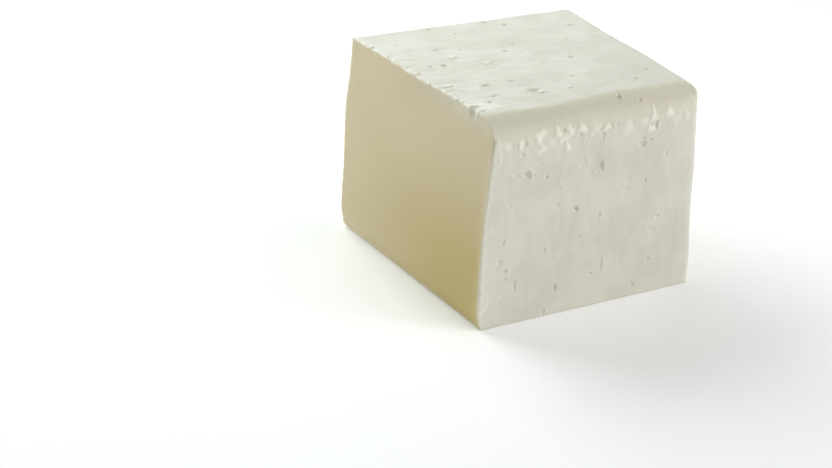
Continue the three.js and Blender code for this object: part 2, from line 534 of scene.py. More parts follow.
TOP_SEEN = SeenMarks(
    Side.TOP,
    softened=0.64,
    widened=1.1,
    pits=(
        (69, 102, 2, 3, 1),
        (98, 92, 4.6, 2.2, 0.8),
        (51.5, 71, 2.6, 2.6, 1),
        (75, 54, 3, 3, 1.2),
        (17.5, 65.5, 3, 3, 0.9),
        (20, 38, 4.2, 3, 1.1),
        (36.5, 26, 5, 4.4, 1.2),
        (17.5, 25.5, 4, 4, 0.5),
        (24, 84, 4.4, 2.2, 0.5),
        (98, 28, 3.4, 2.6, 0.6),
        (68, 5.6, 2.3, 3, 1.8),
        (77.5, 1.4, 2.6, 2.4, 0.9),
        (0.5, 16.5, 3.6, 5.6, 1.8),
    ),
    crumbs=(
        (3.3, 18.4, 2.4, 2.4, 0.3, 0),
        (26, 73, 5, 3, 0.4, 0),
        (36, 60.5, 6, 1.8, 0.5, 0),
        (38.6, 23, 5, 1.7, 0.6, 25),
        (9, 76, 5, 2, 0.45, 0),
        (2, 61, 2.4, 2, 0.56, 0),
        (5.5, 43.6, 8, 1.6, 0.45, 0),
        (4, 39.5, 6, 1.4, 0.38, 0),
        (0.8, 97, 1.6, 2.4, 0.5, 0),
    ),
    dents=(
        (9, 80, 5, 3, 0.3, 0),
        (97, 44, 4, 3, 0.25, 0),
        (92, 9.5, 3, 2.4, 0.4, 0),
        (58.3, 7, 2.4, 2, 0.3, 0),
        (40, 36.5, 6, 1.6, 0.25, 0),
    ),
    flakes=(
        (6.5, 15.5, 12, 8.5, 0.14, 18),
        (66, 47.5, 10, 7.5, -0.18, 0),
    ),
)


@dataclass(frozen=True)
class DrawnPits:
    """The row under the shoulder and the scattered pits, at the places that the solid's rule draws.

    Attributes:
        row_from: Where the row starts.
        row_to: Where it ends.
        row_pits: How many pits it has.
        row_heights: Heights between which it steps up and down.
        row_stray: How far each may lie above or below its height.
        row_span: Usual width and height of one of them.
        row_vary: Least and greatest share of that span.
        row_depth: Depth of one of them, which is a soft dent here.
        scatter: How many pits are scattered over each side, and the share of their depth that they have here.
        margin: Least distance from a scattered pit's even place to the side's edges.
        stray: How far it may stray from that place.
        span: Least and greatest width.
        depth: Least and greatest depth in the solid.
        seed: Start of the draws.
        spread: Steps of the even places along a side's two axes, as shares of its width.
    """

    row_from: float = 11.0
    row_to: float = 102.0
    row_pits: int = 13
    row_heights: Pair = (81.5, 78.0)
    row_stray: float = 1.0
    row_span: Pair = (2.6, 3.2)
    row_vary: Pair = (0.8, 1.2)
    row_depth: float = 0.36
    scatter: tuple[tuple[Side, int, float], ...] = (
        (Side.FRONT, 16, 0.36),
        (Side.TOP, 18, 0.38),
        (Side.RIGHT, 30, 0.7),
        (Side.BACK, 30, 0.7),
        (Side.CUT, 8, 0.12),
    )
    margin: float = 6.0
    stray: float = 9.0
    span: Pair = (1.5, 3.2)
    depth: Pair = (0.7, 1.3)
    seed: int = 20417
    spread: Pair = (0.7549, 0.5698)

    def marks(self, size: np.ndarray) -> list[Mark]:
        """Draws the row and the scatter.

        Args:
            size: Size of the block's upright box.

        Returns:
            The row's dents, and the pits.
        """
        draw = draws(self.seed)
        found = []
        for i in range(self.row_pits):
            x = between(self.row_from, self.row_to, (i + next(draw) - 0.5) / (self.row_pits - 1))
            z = self.row_heights[i % 2] + between(-self.row_stray, self.row_stray, next(draw))
            span = tuple(width * between(*self.row_vary, next(draw)) for width in self.row_span)
            found.append(Mark(Side.FRONT, (x, z), span, self.row_depth, MarkKind.DENT))
        for side, count, softened in self.scatter:
            for i in range(1, count + 1):
                at = tuple(
                    between(self.margin, size[axis] - self.margin, i * share % 1)
                    + self.stray * (next(draw) - 0.5)
                    for axis, share in zip(side.along, self.spread)
                )
                span = (between(*self.span, next(draw)), between(*self.span, next(draw)))
                found.append(Mark(side, at, span, softened * between(*self.depth, next(draw))))
        return found


@dataclass(frozen=True)
class FineMarks:
    """Marks that are too fine for the solid: pinholes, loose crumbs, and streaks drawn out by the mould.

    Attributes:
        pinholes: How many pinholes each side has.
        hole_width: Least and greatest width of a pinhole.
        hole_shape: Least and greatest height, for its width.
        hole_depth: Least and greatest depth.
        hole_margin: Least distance from the side's edges.
        streaks: How many streaks each side has. They run along the top and down the sides.
        streak_length: Least and greatest length of a streak.
        streak_width: The same for its width.
        streak_depth: The same for its depth.
        streak_turn: How far it may be turned each way, in degrees.
        streak_margin: Least distance from the side's edges.
        crumbs: How many crumbs stand out on the sides that have no shoulder.
        crumb_width: Least and greatest width of a crumb.
        crumb_shape: Least and greatest height, for its width.
        crumb_relief: How far it stands out.
        crumb_heights: Lowest and highest place above the base.
        crumb_margin: Least distance from the side's upright edges.
        seed: Start of the draws.
    """

    pinholes: Counts = (
        (Side.FRONT, 12),
        (Side.TOP, 10),
        (Side.RIGHT, 18),
        (Side.BACK, 18),
    )
    hole_width: Pair = (0.9, 1.5)
    hole_shape: Pair = (0.8, 1.3)
    hole_depth: Pair = (0.25, 0.6)
    hole_margin: float = 3.0
    streaks: Counts = (
        (Side.FRONT, 26),
        (Side.TOP, 60),
        (Side.RIGHT, 30),
        (Side.BACK, 30),
    )
    streak_length: Pair = (4.0, 13.0)
    streak_width: Pair = (1.1, 2.0)
    streak_depth: Pair = (0.08, 0.22)
    streak_turn: float = 9.0
    streak_margin: float = 8.0
    crumbs: Counts = ((Side.RIGHT, 22), (Side.BACK, 22))
    crumb_width: Pair = (1.4, 3.0)
    crumb_shape: Pair = (0.9, 1.6)
    crumb_relief: Pair = (0.12, 0.32)
    crumb_heights: Pair = (72.0, 86.0)
    crumb_margin: float = 6.0
    seed: int = 9973

    def marks(self, size: np.ndarray) -> list[Mark]:
        """Draws all of them.

        Args:
            size: Size of the block's upright box.

        Returns:
            Pits, dents and crumbs.
        """
        draw = draws(self.seed)
        found = []
        for side in each(self.pinholes):
            width = between(*self.hole_width, next(draw))
            span = (width, width * between(*self.hole_shape, next(draw)))
            at = anywhere(side, size, self.hole_margin, draw)
            found.append(Mark(side, at, span, between(*self.hole_depth, next(draw))))
        for side in each(self.streaks):
            length = between(*self.streak_length, next(draw))
            width = between(*self.streak_width, next(draw))
            span = (length, width) if side is Side.TOP else (width, length)
            depth = between(*self.streak_depth, next(draw))
            turn = between(-self.streak_turn, self.streak_turn, next(draw))
            at = anywhere(side, size, self.streak_margin, draw)
            found.append(Mark(side, at, span, depth, MarkKind.DENT, turn))
        for side in each(self.crumbs):
            width = between(*self.crumb_width, next(draw))
            span = (width, width * between(*self.crumb_shape, next(draw)))
            along, _ = anywhere(side, size, self.crumb_margin, draw)
            at = (along, between(*self.crumb_heights, next(draw)))
            found.append(Mark(side, at, span, between(*self.crumb_relief, next(draw)), MarkKind.CRUMB))
        return found


@dataclass(frozen=True)
class RimMarks:
    """Crumbs and chips that the knife left along the top and front edges of the cut face.

    Attributes:
        crumbs: How many crumbs lie along the cut face, by the side that they lie on.
        crumb_reach: Least distance of a crumb from the cut face, and how much further it may be.
        crumb_crowding: How strongly they crowd towards the cut face: 1 is evenly.
        crumb_ends: How far they stay from the front or the base, and from the far end.
        crumb_width: Least and greatest width.
        crumb_shape: Least and greatest length, for its width.
        crumb_relief: How far it stands out.
        crumb_turn: How far it may be turned each way, in degrees.
        chips: How many chips are missing, by side.
        chip_reach: Greatest distance of a chip's middle from the cut face.
        chip_ends: As for the crumbs.
        chip_span: Least and greatest width along each of the side's axes.
        chip_depth: Least and greatest depth.
        seed: Start of the draws.
    """

    crumbs: Counts = ((Side.TOP, 40), (Side.FRONT, 5))
    crumb_reach: Pair = (0.9, 2.8)
    crumb_crowding: float = 1.7
    crumb_ends: Pair = (13.0, 3.0)
    crumb_width: Pair = (1.1, 2.8)
    crumb_shape: Pair = (0.8, 1.8)
    crumb_relief: Pair = (0.08, 0.24)
    crumb_turn: float = 30.0
    chips: Counts = ((Side.TOP, 8), (Side.FRONT, 2))
    chip_reach: float = 0.9
    chip_ends: Pair = (14.0, 4.0)
    chip_span: tuple[Pair, Pair] = ((1.0, 2.6), (1.2, 3.4))
    chip_depth: Pair = (0.15, 0.5)
    seed: int = 19946

    def marks(self, size: np.ndarray) -> list[Mark]:
        """Draws all of them.

        Args:
            size: Size of the block's upright box.

        Returns:
            Crumbs, and pits for the chips.
        """
        draw = draws(self.seed)
        found = []
        for side in each(self.crumbs):
            least, more = self.crumb_reach
            from_cut = least + more * next(draw) ** self.crumb_crowding
            at = (from_cut, self._along(side, size, self.crumb_ends, draw))
            width = between(*self.crumb_width, next(draw))
            span = (width * between(*self.crumb_shape, next(draw)), width)
            turn = between(-self.crumb_turn, self.crumb_turn, next(draw))
            found.append(Mark(side, at, span, between(*self.crumb_relief, next(draw)), MarkKind.CRUMB, turn))
        for side in each(self.chips):
            at = (self.chip_reach * next(draw), self._along(side, size, self.chip_ends, draw))
            span = tuple(between(*limits, next(draw)) for limits in self.chip_span)
            found.append(Mark(side, at, span, between(*self.chip_depth, next(draw))))
        return found

    @staticmethod
    def _along(side: Side, size: np.ndarray, ends: Pair, draw: Iterator[float]) -> float:
        """A drawn place along a side's edge with the cut face, clear of both ends."""
        return between(ends[0], size[side.along[1]] - ends[1], next(draw))


def each(counts: Counts) -> Iterator[Side]:
    """Each side as many times as its count says."""
    for side, count in counts:
        yield from [side] * count


def anywhere(side: Side, size: np.ndarray, margin: float, draw: Iterator[float]) -> Pair:
    """A drawn place on a side, at least the margin from its edges."""
    first, second = (between(margin, size[axis] - margin, next(draw)) for axis in side.along)
    return first, second


@dataclass(frozen=True)
class Markings:
    """All the marks in the block's sides.

    Attributes:
        seen: The marks that show clearly.
        drawn: The pits that the solid's rule draws.
        fine: The finer marks.
        rim: The crumbs and chips round the cut face.
    """

    seen: tuple[SeenMarks, ...] = (FRONT_SEEN, TOP_SEEN)
    drawn: DrawnPits = DrawnPits()
    fine: FineMarks = FineMarks()
    rim: RimMarks = RimMarks()

    def all(self, size: np.ndarray) -> list[Mark]:
        """Gathers the marks, the same each run.

        Args:
            size: Size of the block's upright box.

        Returns:
            Every mark.
        """
        found = [mark for side in self.seen for mark in side.marks()]
        for rule in (self.drawn, self.fine, self.rim):
            found += rule.marks(size)
        return found


@dataclass(frozen=True)
class Swells:
    """One layer of smooth unevenness.

    Attributes:
        height: Height of the swells.
        lengths: How long they are along each axis.
        start: Which part of the endless noise they come from.
    """

    height: float
    lengths: tuple[float, float, float]
    start: float

    def at(self, placed: np.ndarray) -> np.ndarray:
        """The height at each place on the block, in mm."""
        return self.height * wander(placed, self.lengths, self.start)


@dataclass(frozen=True)
class CurdRow:
    """The whiter curd that stands out in an uneven row under the front shoulder, its white partly the curd's
    own and partly a painted highlight.

    Attributes:
        height: Height of the row's middle above the base.
        reach: How far it reaches to each side of that height.
        drift: How the row wanders up and down.
        patches: Where curd stands out along it.
        patch_edges: Values of the patches' noise at which the relief starts and is full.
        curd: Width of a curd.
        curd_start: Which part of the endless pattern of curds is used.
        lumps: How far a curd stands out.
        sunk: How much of a curd's roundness lies below the surface.
        white_lift: How far above the row's middle the whitest curd is.
        white_reach: How far it reaches to each side.
        white_edges: Values of the patches' noise at which the white starts and is full.
        white_curd: Parts of a curd's roundness at which the white starts and is full.
        white: How white it is at the most.
        facing: How squarely the surface faces the front where the row starts and is full.
    """

    height: float = 79.5
    reach: float = 6.0
    drift: Swells = Swells(2.2, (19.0, 19.0, 60.0), 9.2)
    patches: Swells = Swells(1.0, (9.0, 9.0, 9.0), 1.4)
    patch_edges: Pair = (-0.35, 0.35)
    curd: float = 4.2
    curd_start: float = 6.6
    lumps: float = 0.35
    sunk: float = 0.45
    white_lift: float = 1.5
    white_reach: float = 4.5
    white_edges: Pair = (-0.2, 0.3)
    white_curd: Pair = (0.35, 0.95)
    white: float = 0.6
    facing: Pair = (0.5, 0.9)

    def shape(
        self, box: np.ndarray, placed: np.ndarray, normals: np.ndarray
    ) -> tuple[np.ndarray, np.ndarray]:
        """The row at each point.

        Args:
            box: Places in the upright box, in mm.
            placed: Places on the block, in mm.
            normals: Directions out of the block.

        Returns:
            Heights in mm, and how white the curd is, from 0 to 1: partly its own white, partly a painted
            highlight.
        """
        front = smooth_step(*self.facing, -normals[:, 1])
        above = box[:, 2] - self.height - self.drift.at(placed)
        patches = self.patches.at(placed)
        roundness = curds(placed, self.curd, self.curd_start)
        lumps = bell(above, self.reach) * smooth_step(*self.patch_edges, patches)
        # The row's white is partly whiter curd and partly a painted highlight on the lumps.
        white = bell(above - self.white_lift, self.white_reach) * smooth_step(*self.white_edges, patches)
        white *= smooth_step(*self.white_curd, roundness)
        return self.lumps * front * lumps * (roundness - self.sunk), self.white * front * white


@dataclass(frozen=True)
class CurdRelief:
    """The low relief of the surface, as heights in mm above the plain form.

    Attributes:
        broad: The broad unevenness that every side has.
        fine: The fine unevenness.
        top_strokes: The draw marks along the top.
        side_strokes: The draw marks down the sides.
        knife_strokes: The knife's faint marks down the cut face.
        cut_turn: How squarely the surface faces the cut side where that face starts and is full.
        smoothed: How much of the unevenness the knife took away.
    """

    broad: Swells = Swells(0.26, (11.0, 11.0, 11.0), 5.3)
    fine: Swells = Swells(0.04, (1.5, 1.5, 1.5), 4.1)
    top_strokes: Swells = Swells(0.16, (9.0, 1.6, 6.0), 2.9)
    side_strokes: Swells = Swells(0.152, (3.2, 3.2, 14.0), 7.7)
    knife_strokes: Swells = Swells(0.048, (9.0, 2.4, 26.0), 3.3)
    cut_turn: Pair = (0.35, 0.8)
    smoothed: float = 0.75

    def heights(self, placed: np.ndarray, normals: np.ndarray) -> np.ndarray:
        """The relief at each point.

        Args:
            placed: Places on the block, in mm.
            normals: Directions out of the block.

        Returns:
            Heights in mm.
        """
        up = normals[:, 2] ** 2
        cut = smooth_step(*self.cut_turn, -normals[:, 0])
        heights = (1.0 - self.smoothed * cut) * (self.broad.at(placed) + self.fine.at(placed))
        heights += up * (normals[:, 2] > 0) * self.top_strokes.at(placed)
        heights += (1.0 - up) * (1.0 - cut) * self.side_strokes.at(placed)
        heights += cut * self.knife_strokes.at(placed)
        return heights


@dataclass(frozen=True)
class FinishZones:
    """Where each part of the cheese's finish shows, and how strongly.

    A pair holds the values at which a zone is absent and at which it is full. A distance is in mm from the
    side that it names, and a turn is how squarely the surface faces a side, up to 1.

    Attributes:
        rind_front: The pressed shoulder, by distance from the front.
        rind_top: The same, by distance from the top.
        cut_turn: The cut face, by its turn to the cut side.
        border: Strength of the moulded sides' colour in a band along the top of the cut face.
        border_top: That band, by distance from the top.
        border_front: The same, by distance from the front.
        foot_shade_height: The painted shade and warm bounced light towards the foot of the cut face, by
            height.
        foot_shade_front: The same, by distance from the front.
        pit: Strength of the painted shade deep in a pit.
        pit_shade_depth: That painted shade, by depth in mm.
        rim: Strength of the painted white highlight along the top of the cut face.
        rim_width: The rim, by distance from that edge.
        rim_front: The same, by distance from the front.
        rim_turn: The same, by its turn to the top, which keeps it on that side of the edge.
        rim_breaks: The same, by the noise that breaks it.
        rim_noise: That noise.
        arris_highlight: Strength and width of each layer of the painted highlight on the upright edge, the
            wide one first.
        arris_highlight_top: That highlight, by distance from the top.
        brine_turn: The brine on the top, by its turn to the top.
        brine_cut: The same, by distance from the cut face.
        brine_least: Share of brine that there is everywhere.
        brine_away: Share of the top's brine that there is away from the cut face.
    """

    rind_front: Pair = (10.6, 9.6)
    rind_top: Pair = (15.0, 3.0)
    cut_turn: Pair = (0.55, 0.85)
    border: float = 0.55
    border_top: Pair = (10.0, 1.0)
    border_front: Pair = (75.0, 15.0)
    # Painted shade and warm bounced light towards the foot of the cut face.
    foot_shade_height: Pair = (80.0, 22.0)
    foot_shade_front: Pair = (140.0, 0.0)
    # Painted shade deep in the pits: its strength, and the depths at which it starts and is full.
    pit: float = 0.2
    pit_shade_depth: Pair = (0.4, 1.5)
    # Painted highlight: a broken white line along the top of the cut face.
    rim: float = 0.8
    rim_width: Pair = (2.2, 0.5)
    rim_front: Pair = (9.0, 15.0)
    rim_turn: Pair = (0.1, 0.6)
    rim_breaks: Pair = (-0.5, 0.2)
    rim_noise: Swells = Swells(1.0, (30.0, 5.0, 30.0), 6.1)
    # Painted highlight along the upright edge between the front and the cut face, lightening the shade that
    # falls there.
    arris_highlight: tuple[tuple[float, Pair], ...] = ((0.12, (6.0, 0.8)), (0.5, (1.7, 0.5)))
    arris_highlight_top: Pair = (8.0, 20.0)
    brine_turn: Pair = (0.93, 0.985)
    brine_cut: Pair = (34.0, 3.0)
    brine_least: float = 0.15
    brine_away: float = 0.3

    def shares(
        self, box: np.ndarray, size: np.ndarray, normals: np.ndarray, raised: np.ndarray, curd_and_highlight: np.ndarray
    ) -> dict[str, np.ndarray]:
        """How much of each zone every point has.

        Args:
            box: Places in the upright box, in mm.
            size: Size of that box.
            normals: Directions out of the block.
            raised: How far the marks raise each point, in mm.
            curd_and_highlight: How white the marks and the row paint it, from 0 to 1: partly loose white
                curd, partly a painted highlight.

        Returns:
            Numbers from 0 to 1 by the names of the attributes that the cheese's material reads.
        """
        sides = (Side.CUT, Side.FRONT, Side.TOP)
        from_cut, from_front, from_top = (side.distance(box, size) for side in sides)
        border = smooth_step(*self.border_top, from_top) * smooth_step(*self.border_front, from_front)
        # The rim along the top and the pale upright edge are painted highlights, laid over the white of the
        # crumbs.
        rim = np.maximum(
            self._top_rim_highlight(box, normals, np.hypot(from_cut, from_top), from_front),
            self._arris_highlight(np.hypot(from_cut, from_front), from_top),
        )
        near_cut = self.brine_away + (1.0 - self.brine_away) * smooth_step(*self.brine_cut, from_cut)
        brine = near_cut * smooth_step(*self.brine_turn, normals[:, 2])
        return {
            # Painted shade deep in the pits.
            "hollow_shade": self.pit * smooth_step(*self.pit_shade_depth, -raised),
            "curd_and_highlight": np.maximum(curd_and_highlight, rim),
            "cut": smooth_step(*self.cut_turn, -normals[:, 0]) * (1.0 - self.border * border),
            # Painted shade and warm bounced light towards the foot of the cut face.
            "foot_shade": smooth_step(*self.foot_shade_height, box[:, 2]) * smooth_step(*self.foot_shade_front, from_front),
            "rind": smooth_step(*self.rind_front, from_front) * smooth_step(*self.rind_top, from_top),
            "wet": (self.brine_least + (1.0 - self.brine_least) * brine) * (1.0 - rim),
        }

    def _top_rim_highlight(
        self, box: np.ndarray, normals: np.ndarray, from_edge: np.ndarray, from_front: np.ndarray
    ) -> np.ndarray:
        """How strongly each point belongs to the broken white rim between the top and the cut face, a painted
        highlight.

        Args:
            box: Places in the upright box, in mm.
            normals: Directions out of the block.
            from_edge: Distance of each point from that edge.
            from_front: Its distance from the front.

        Returns:
            Numbers from 0 to 1.
        """
        broken = smooth_step(*self.rim_breaks, self.rim_noise.at(box))
        near = smooth_step(*self.rim_width, from_edge) * smooth_step(*self.rim_front, from_front)
        return self.rim * broken * near * smooth_step(*self.rim_turn, normals[:, 2])

    def _arris_highlight(self, from_edge: np.ndarray, from_top: np.ndarray) -> np.ndarray:
        """How strongly each point belongs to the painted highlight on the upright edge between the front and
        the cut face.
        """
        layers = sum(strength * smooth_step(*width, from_edge) for strength, width in self.arris_highlight)
        return layers * smooth_step(*self.arris_highlight_top, from_top)


@dataclass(frozen=True)
class FineGrain:
    """A fine even grain, shown as a bump.

    Attributes:
        width_mm: Width of the grain.
        depth_mm: Its height.
        strength: How much of that height the bump shows.
        detail: How many finer layers its noise has.
    """

    width_mm: float
    depth_mm: float
    strength: float
    detail: float

    def normal(self, tree: bpy.types.NodeTree, place: bpy.types.NodeSocket) -> bpy.types.NodeSocket:
        """The direction out of the surface, with the grain in it.

        Args:
            tree: The node tree.
            place: Object coordinates, in metres.

        Returns:
            A socket for the shader's Normal.
        """
        bump = add_node(
            tree,
            "ShaderNodeBump",
            inputs={
                "Height": noise_at(tree, place, self.width_mm, self.detail),
                "Strength": self.strength,
                "Distance": self.depth_mm * MM,
            },
        )
        return bump.outputs["Normal"]


@dataclass(frozen=True)
class FreshCheese:
    """Fresh white cheese from brine, such as feta: pressed curd with a thin film of brine.

    The eye sees a soft white with a warm, slightly see-through depth, ivory where the knife has been, denser
    and more beige where the mould has pressed it, and a broken gloss where the brine lies.

    Attributes:
        face: Colour of the moulded sides, as sRGB hex.
        face_light: The same where the curd is a little whiter.
        crumb: Colour of curd that stands out, which has drained and is the whitest, with a painted highlight
            on it; the painted highlights along the cut face's edges take it too.
        cut: Colour of the cut face.
        cut_foot_shade: Colour of the cut face near its foot, painted darker and yellower: painted shade and
            warm bounced light.
        rind: Colour of the pressed shoulder.
        pit: Colour of the painted shade deep in a pit.
        roughness: Roughness where the surface is merely moist.
        wet_roughness: Roughness where brine lies on it.
        ior: Index of refraction of the brine film.
        scatter_share: How much of the light goes into the curd and out again.
        scatter_mm: How far red light travels in it.
        scatter_reach: How far red, green and blue travel, as shares of that.
        cloud_mm: Width of the pale clouds in the curd.
        cloud_range: Values of the clouds' noise at which they start and are full.
        brine_mm: Width of a patch of brine.
        brine_range: Values of the patches' noise at which they start and are full.
        brine_drawn: How the patches' noise is scaled along each axis, which draws them out.
        grain: The curd's own fine grain.
    """

    face: str = "#DBD8CA"
    face_light: str = "#E1DED1"
    # White of curd that stands out, partly a painted highlight, and of the painted highlights along the cut
    # face's edges.
    crumb: str = "#F7F4E6"
    cut: str = "#DDCEAC"
    # Painted shade and warm bounced light at the foot of the cut face.
    cut_foot_shade: str = "#C9B77A"
    rind: str = "#DFDAC6"
    # Painted shade deep in a pit.
    pit: str = "#C3B47E"
    roughness: float = 0.5
    wet_roughness: float = 0.2
    ior: float = 1.37
    scatter_share: float = 0.3
    scatter_mm: float = 1.5
    scatter_reach: tuple[float, float, float] = (1.0, 0.78, 0.5)
    cloud_mm: float = 16.0
    cloud_range: Pair = (0.38, 0.62)
    brine_mm: float = 6.0
    brine_range: Pair = (0.35, 0.6)
    brine_drawn: tuple[float, float, float] = (0.45, 1.0, 1.0)
    grain: FineGrain = FineGrain(1.3, 0.06, 0.6, 3.0)

    def material(self) -> bpy.types.Material:
        """The cheese as a node material.

        Returns:
            A material that reads Object coordinates and the block's own attributes.
        """
        material, tree, place = start_material("fresh_brined_cheese")
        inputs = {
            "Base Color": self._colour(tree, place),
            "Roughness": self._roughness(tree, place),
            "Normal": self.grain.normal(tree, place),
            "IOR": self.ior,
            "Subsurface Weight": self.scatter_share,
            "Subsurface Radius": self.scatter_reach,
            "Subsurface Scale": self.scatter_mm * MM,
        }
        add_shader(tree, inputs)
        return material

    def _colour(self, tree: bpy.types.NodeTree, place: bpy.types.NodeSocket) -> bpy.types.NodeSocket:
        """Clouded white, with the rind, the ivory cut, painted shade and warm bounced light at the cut face's
        foot, white crumbs that are partly a painted highlight, painted highlights along the cut face's edges,
        and painted shade in the pits over it.

        Args:
            tree: The node tree.
            place: Object coordinates, in metres.

        Returns:
            A colour.
        """
        clouds = noise_at(tree, place, self.cloud_mm, detail=3.0)
        colour = mixed(tree, ranged(tree, clouds, *self.cloud_range), self.face, self.face_light)
        colour = mixed(tree, read(tree, "rind"), colour, self.rind)
        # The cut face is painted darker and yellower towards its foot: painted shade and warm bounced light.
        cut = mixed(tree, read(tree, "foot_shade"), self.cut, self.cut_foot_shade)
        colour = mixed(tree, read(tree, "cut"), colour, cut)
        # White crumbs, partly a painted highlight, and the painted highlights along the cut face's edges.
        colour = mixed(tree, read(tree, "curd_and_highlight"), colour, self.crumb)
        # Painted shade deep in the pits.
        return mixed(tree, read(tree, "hollow_shade"), colour, self.pit)

    def _roughness(self, tree: bpy.types.NodeTree, place: bpy.types.NodeSocket) -> bpy.types.NodeSocket:
        """Moist curd with broken patches of brine, drawn out along the block.

        Args:
            tree: The node tree.
            place: Object coordinates, in metres.

        Returns:
            A value from 0 to 1.
        """
        drawn_out = add_node(tree, "ShaderNodeMapping", inputs={"Vector": place, "Scale": self.brine_drawn})
        patches = noise_at(tree, drawn_out.outputs["Vector"], self.brine_mm, detail=2.0)
        patches = ranged(tree, patches, *self.brine_range)
        wet = add_node(
            tree, "ShaderNodeMath", {"operation": "MULTIPLY"}, {0: patches, 1: read(tree, "wet")}
        ).outputs[0]
        spread = add_node(
            tree,
            "ShaderNodeMapRange",
            inputs={"Value": wet, "To Min": self.roughness, "To Max": self.wet_roughness},
        )
        return spread.outputs["Result"]


@dataclass(frozen=True)
class PaperFloor:
    """A sheet of white studio paper: matt and even, with a faint glow that keeps its shadows pale.

    Attributes:
        colour: Its colour, as sRGB hex.
        roughness: Its roughness.
        specular: How much it mirrors, where 0.5 is usual.
        glow: Strength of the glow.
        tooth: The paper's fine tooth.
    """

    colour: str = "#FBFBFA"
    roughness: float = 0.8
    specular: float = 0.2
    glow: float = 0.12
    tooth: FineGrain = FineGrain(0.8, 0.02, 0.2, 2.0)

    def material(self) -> bpy.types.Material:
        """The paper as a node material.

        Returns:
            A material that reads Object coordinates.
        """
        material, tree, place = start_material("white_studio_paper")
        inputs = {
            "Base Color": linear(self.colour),
            "Roughness": self.roughness,
            "Normal": self.tooth.normal(tree, place),
            "Specular IOR Level": self.specular,
            "Emission Color": (1.0, 1.0, 1.0, 1.0),
            "Emission Strength": self.glow,
        }
        add_shader(tree, inputs)
        return material


def linear(hex_colour: str) -> tuple[float, float, float, float]:
    """Turns an sRGB hex value into a linear colour.

    Args:
        hex_colour: The value, such as #DDDBCD.

    Returns:
        Red, green, blue and an alpha of 1.
    """
    channels = [int(hex_colour[i : i + 2], 16) / 255 for i in (1, 3, 5)]
    light = [c / 12.92 if c <= 0.04045 else ((c + 0.055) / 1.055) ** 2.4 for c in channels]
    return light[0], light[1], light[2], 1.0


def add_node(
    tree: bpy.types.NodeTree,
    kind: str,
    settings: dict[str, object] | None = None,
    inputs: dict[str | int, object] | None = None,
) -> bpy.types.Node:
    """Adds a node with its settings, values and links.

    Args:
        tree: The node tree.
        kind: The node's type.
        settings: Its properties by name.
        inputs: Values or output sockets, by the name or number of the input.

    Returns:
        The new node.
    """
    node = tree.nodes.new(kind)
    for name, value in (settings or {}).items():
        setattr(node, name, value)
    for name, value in (inputs or {}).items():
        if isinstance(value, bpy.types.NodeSocket):
            tree.links.new(value, node.inputs[name])
        else:
            node.inputs[name].default_value = value
    return node


def start_material(name: str) -> tuple[bpy.types.Material, bpy.types.NodeTree, bpy.types.NodeSocket]:
    """Starts a node material.

    Args:
        name: Name of the material.

    Returns:
        The material, its node tree, and its Object coordinates.
    """
    material = bpy.data.materials.new(name)
    material.use_nodes = True
    tree = material.node_tree
    tree.nodes.clear()
    return material, tree, add_node(tree, "ShaderNodeTexCoord").outputs["Object"]


def add_shader(tree: bpy.types.NodeTree, inputs: dict[str | int, object]) -> None:
    """Adds the material's shader, with values or sockets by the names of its inputs, and its output."""
    shader = add_node(tree, "ShaderNodeBsdfPrincipled", inputs=inputs)
    add_node(tree, "ShaderNodeOutputMaterial", inputs={"Surface": shader.outputs["BSDF"]})


def noise_at(
    tree: bpy.types.NodeTree, place: bpy.types.NodeSocket, width_mm: float, detail: float
) -> bpy.types.NodeSocket:
    """Noise whose swells are a real width across.

    Args:
        tree: The node tree.
        place: Object coordinates, in metres.
        width_mm: Width of a swell.
        detail: How many finer layers it has.

    Returns:
        A value from 0 to 1.
    """
    texture = add_node(
        tree, "ShaderNodeTexNoise", inputs={"Vector": place, "Scale": 1.0 / (width_mm * MM), "Detail": detail}
    )
    return texture.outputs["Fac"]


def ranged(
    tree: bpy.types.NodeTree, value: bpy.types.NodeSocket, low: float, high: float
) -> bpy.types.NodeSocket:
    """Stretches a value so that low becomes 0 and high becomes 1.

    Args:
        tree: The node tree.
        value: The value.
        low: What becomes 0.
        high: What becomes 1.

    Returns:
        A value from 0 to 1.
    """
    spread = add_node(
        tree,
        "ShaderNodeMapRange",
        {"interpolation_type": "SMOOTHSTEP"},
        {"Value": value, "From Min": low, "From Max": high},
    )
    return spread.outputs["Result"]


def read(tree: bpy.types.NodeTree, name: str) -> bpy.types.NodeSocket:
    """The value of one of the block's attributes."""
    return add_node(tree, "ShaderNodeAttribute", {"attribute_name": name}).outputs["Fac"]


def mixed(
    tree: bpy.types.NodeTree,
    share: bpy.types.NodeSocket,
    first: bpy.types.NodeSocket | str,
    second: bpy.types.NodeSocket | str,
) -> bpy.types.NodeSocket:
    """A mix of two colours, each a socket or an sRGB hex value.

    Args:
        tree: The node tree.
        share: How much of the second colour is taken.
        first: The first colour.
        second: The second colour.

    Returns:
        The mixed colour.
    """
    first, second = (linear(c) if isinstance(c, str) else c for c in (first, second))
    colours = {MIX_SHARE: share, MIX_FIRST: first, MIX_SECOND: second}
    return add_node(tree, "ShaderNodeMix", {"data_type": "RGBA"}, colours).outputs[MIX_RESULT]


